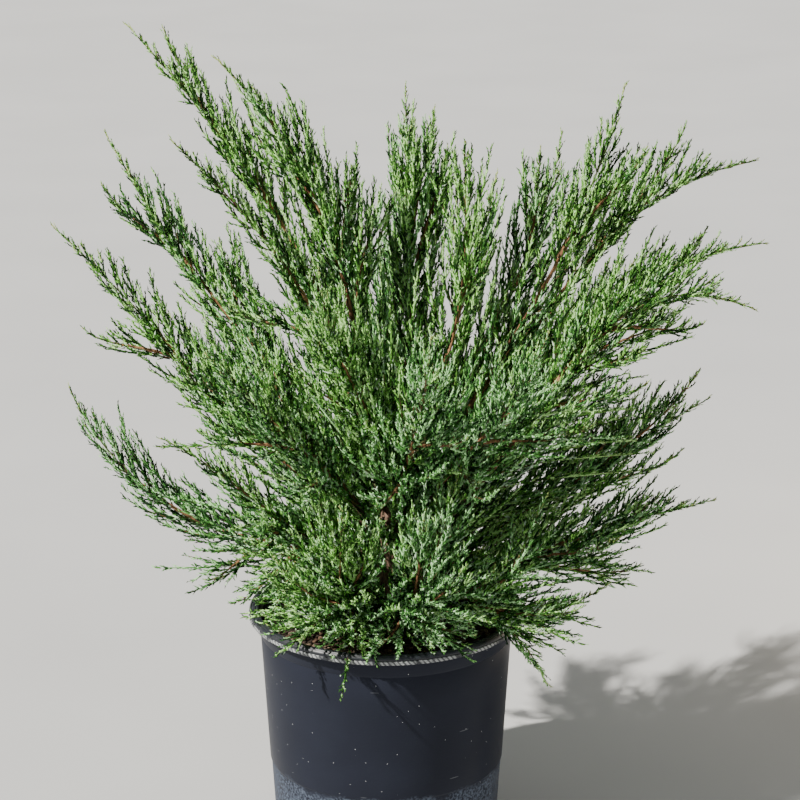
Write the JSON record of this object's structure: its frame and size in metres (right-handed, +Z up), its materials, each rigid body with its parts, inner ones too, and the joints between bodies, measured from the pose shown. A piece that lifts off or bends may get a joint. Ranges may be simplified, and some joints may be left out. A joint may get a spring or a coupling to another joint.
{
  "type": "potted juniper shrub",
  "caption": "Vase-shaped juniper with arching feathery plumes on a short trunk, in a tapered round nursery pot filled with bark mix.",
  "frame": {"origin": "centre of the pot's flat underside, on the surface that it stands on", "axes": "+Z up along the pot's axis; -Y towards the side that the picture shows; +X to its right"},
  "size_m": [0.6896, 0.5614, 0.8335],
  "materials": {
    "pot": "smooth charcoal blue-grey moulded plastic with dust near the foot",
    "soil": "brown composted bark mix",
    "trunk": "reddish brown fibrous bark",
    "bough": "reddish brown fibrous bark",
    "foliage": "grey-green scale foliage, lighter at the tips"
  },
  "bodies": {
    "root": {"pot": "pot", "soil": "soil", "trunk": "trunk", "left_peak_bough": "bough", "left_peak_foliage": "foliage", "left_crest_bough": "bough", "left_crest_foliage": "foliage", "left_sweep_bough": "bough", "left_sweep_foliage": "foliage", "left_arch_bough": "bough", "left_arch_foliage": "foliage", "left_reach_bough": "bough", "left_reach_foliage": "foliage", "left_low_bough": "bough", "left_low_foliage": "foliage", "left_skirt_bough": "bough", "left_skirt_foliage": "foliage", "centre_peak_bough": "bough", "centre_peak_foliage": "foliage", "centre_right_bough": "bough", "centre_right_foliage": "foliage", "right_twin_bough": "bough", "right_twin_foliage": "foliage", "right_peak_bough": "bough", "right_peak_foliage": "foliage", "right_crest_bough": "bough", "right_crest_foliage": "foliage", "right_arch_bough": "bough", "right_arch_foliage": "foliage", "right_sweep_bough": "bough", "right_sweep_foliage": "foliage", "right_shade_bough": "bough", "right_shade_foliage": "foliage", "right_low_bough": "bough", "right_low_foliage": "foliage", "right_droop_bough": "bough", "right_droop_foliage": "foliage", "front_left_bough": "bough", "front_left_foliage": "foliage", "front_rise_bough": "bough", "front_rise_foliage": "foliage", "front_centre_bough": "bough", "front_centre_foliage": "foliage", "front_right_bough": "bough", "front_right_foliage": "foliage", "front_skirt_left_bough": "bough", "front_skirt_left_foliage": "foliage", "front_skirt_right_bough": "bough", "front_skirt_right_foliage": "foliage", "back_left_bough": "bough", "back_left_foliage": "foliage", "back_centre_bough": "bough", "back_centre_foliage": "foliage", "back_right_bough": "bough", "back_right_foliage": "foliage", "back_skirt_left_bough": "bough", "back_skirt_left_foliage": "foliage", "back_skirt_right_bough": "bough", "back_skirt_right_foliage": "foliage"}
  },
  "joints": []
}
